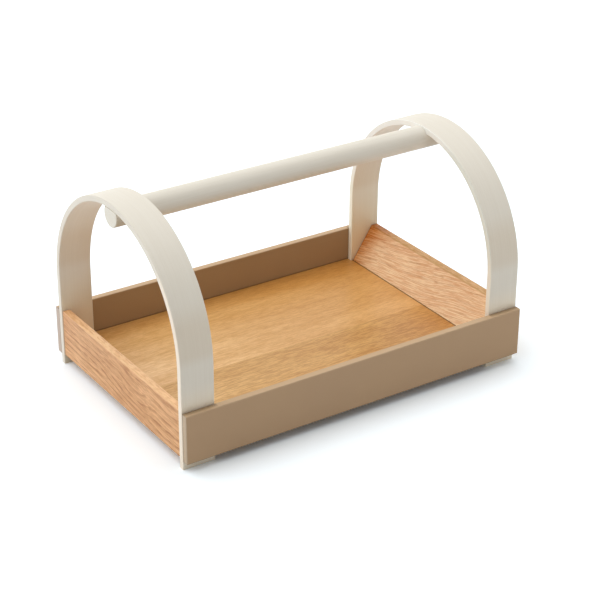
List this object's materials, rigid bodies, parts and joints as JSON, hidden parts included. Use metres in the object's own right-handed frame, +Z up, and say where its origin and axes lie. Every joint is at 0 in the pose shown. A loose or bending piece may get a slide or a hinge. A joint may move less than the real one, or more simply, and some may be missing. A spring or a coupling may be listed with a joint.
{
  "type": "carry tray",
  "caption": "Shallow open carry tray with low painted sides, sloping wooden ends, two bent wooden arches as legs and a round handle along the top.",
  "frame": {"origin": "centre of the tray's footprint, on the surface that the four feet stand on", "axes": "+X along the handle and the long sides, +Y from the near long side to the far one, +Z up"},
  "size_m": [0.3742, 0.25, 0.2137],
  "materials": {
    "painted_board": "matt taupe paint",
    "stained_bentwood": "cream stain, satin",
    "oak_block": "oiled oak",
    "oak_floor": "satin lacquered oak veneer",
    "beech_pin": "raw"
  },
  "bodies": {
    "root": {"side_board_near": "painted_board", "side_board_far": "painted_board", "arch_left": "stained_bentwood", "arch_right": "stained_bentwood", "handle_dowel": "stained_bentwood", "end_block_left": "oak_block", "end_block_right": "oak_block", "floor_panel": "oak_floor", "corner_pin_left_near_low": "beech_pin", "corner_pin_left_near_high": "beech_pin", "corner_pin_left_far_low": "beech_pin", "corner_pin_left_far_high": "beech_pin", "corner_pin_right_near_low": "beech_pin", "corner_pin_right_near_high": "beech_pin", "corner_pin_right_far_low": "beech_pin", "corner_pin_right_far_high": "beech_pin", "handle_pin_left_inner": "beech_pin", "handle_pin_left_outer": "beech_pin", "handle_pin_right_inner": "beech_pin", "handle_pin_right_outer": "beech_pin"}
  },
  "joints": []
}
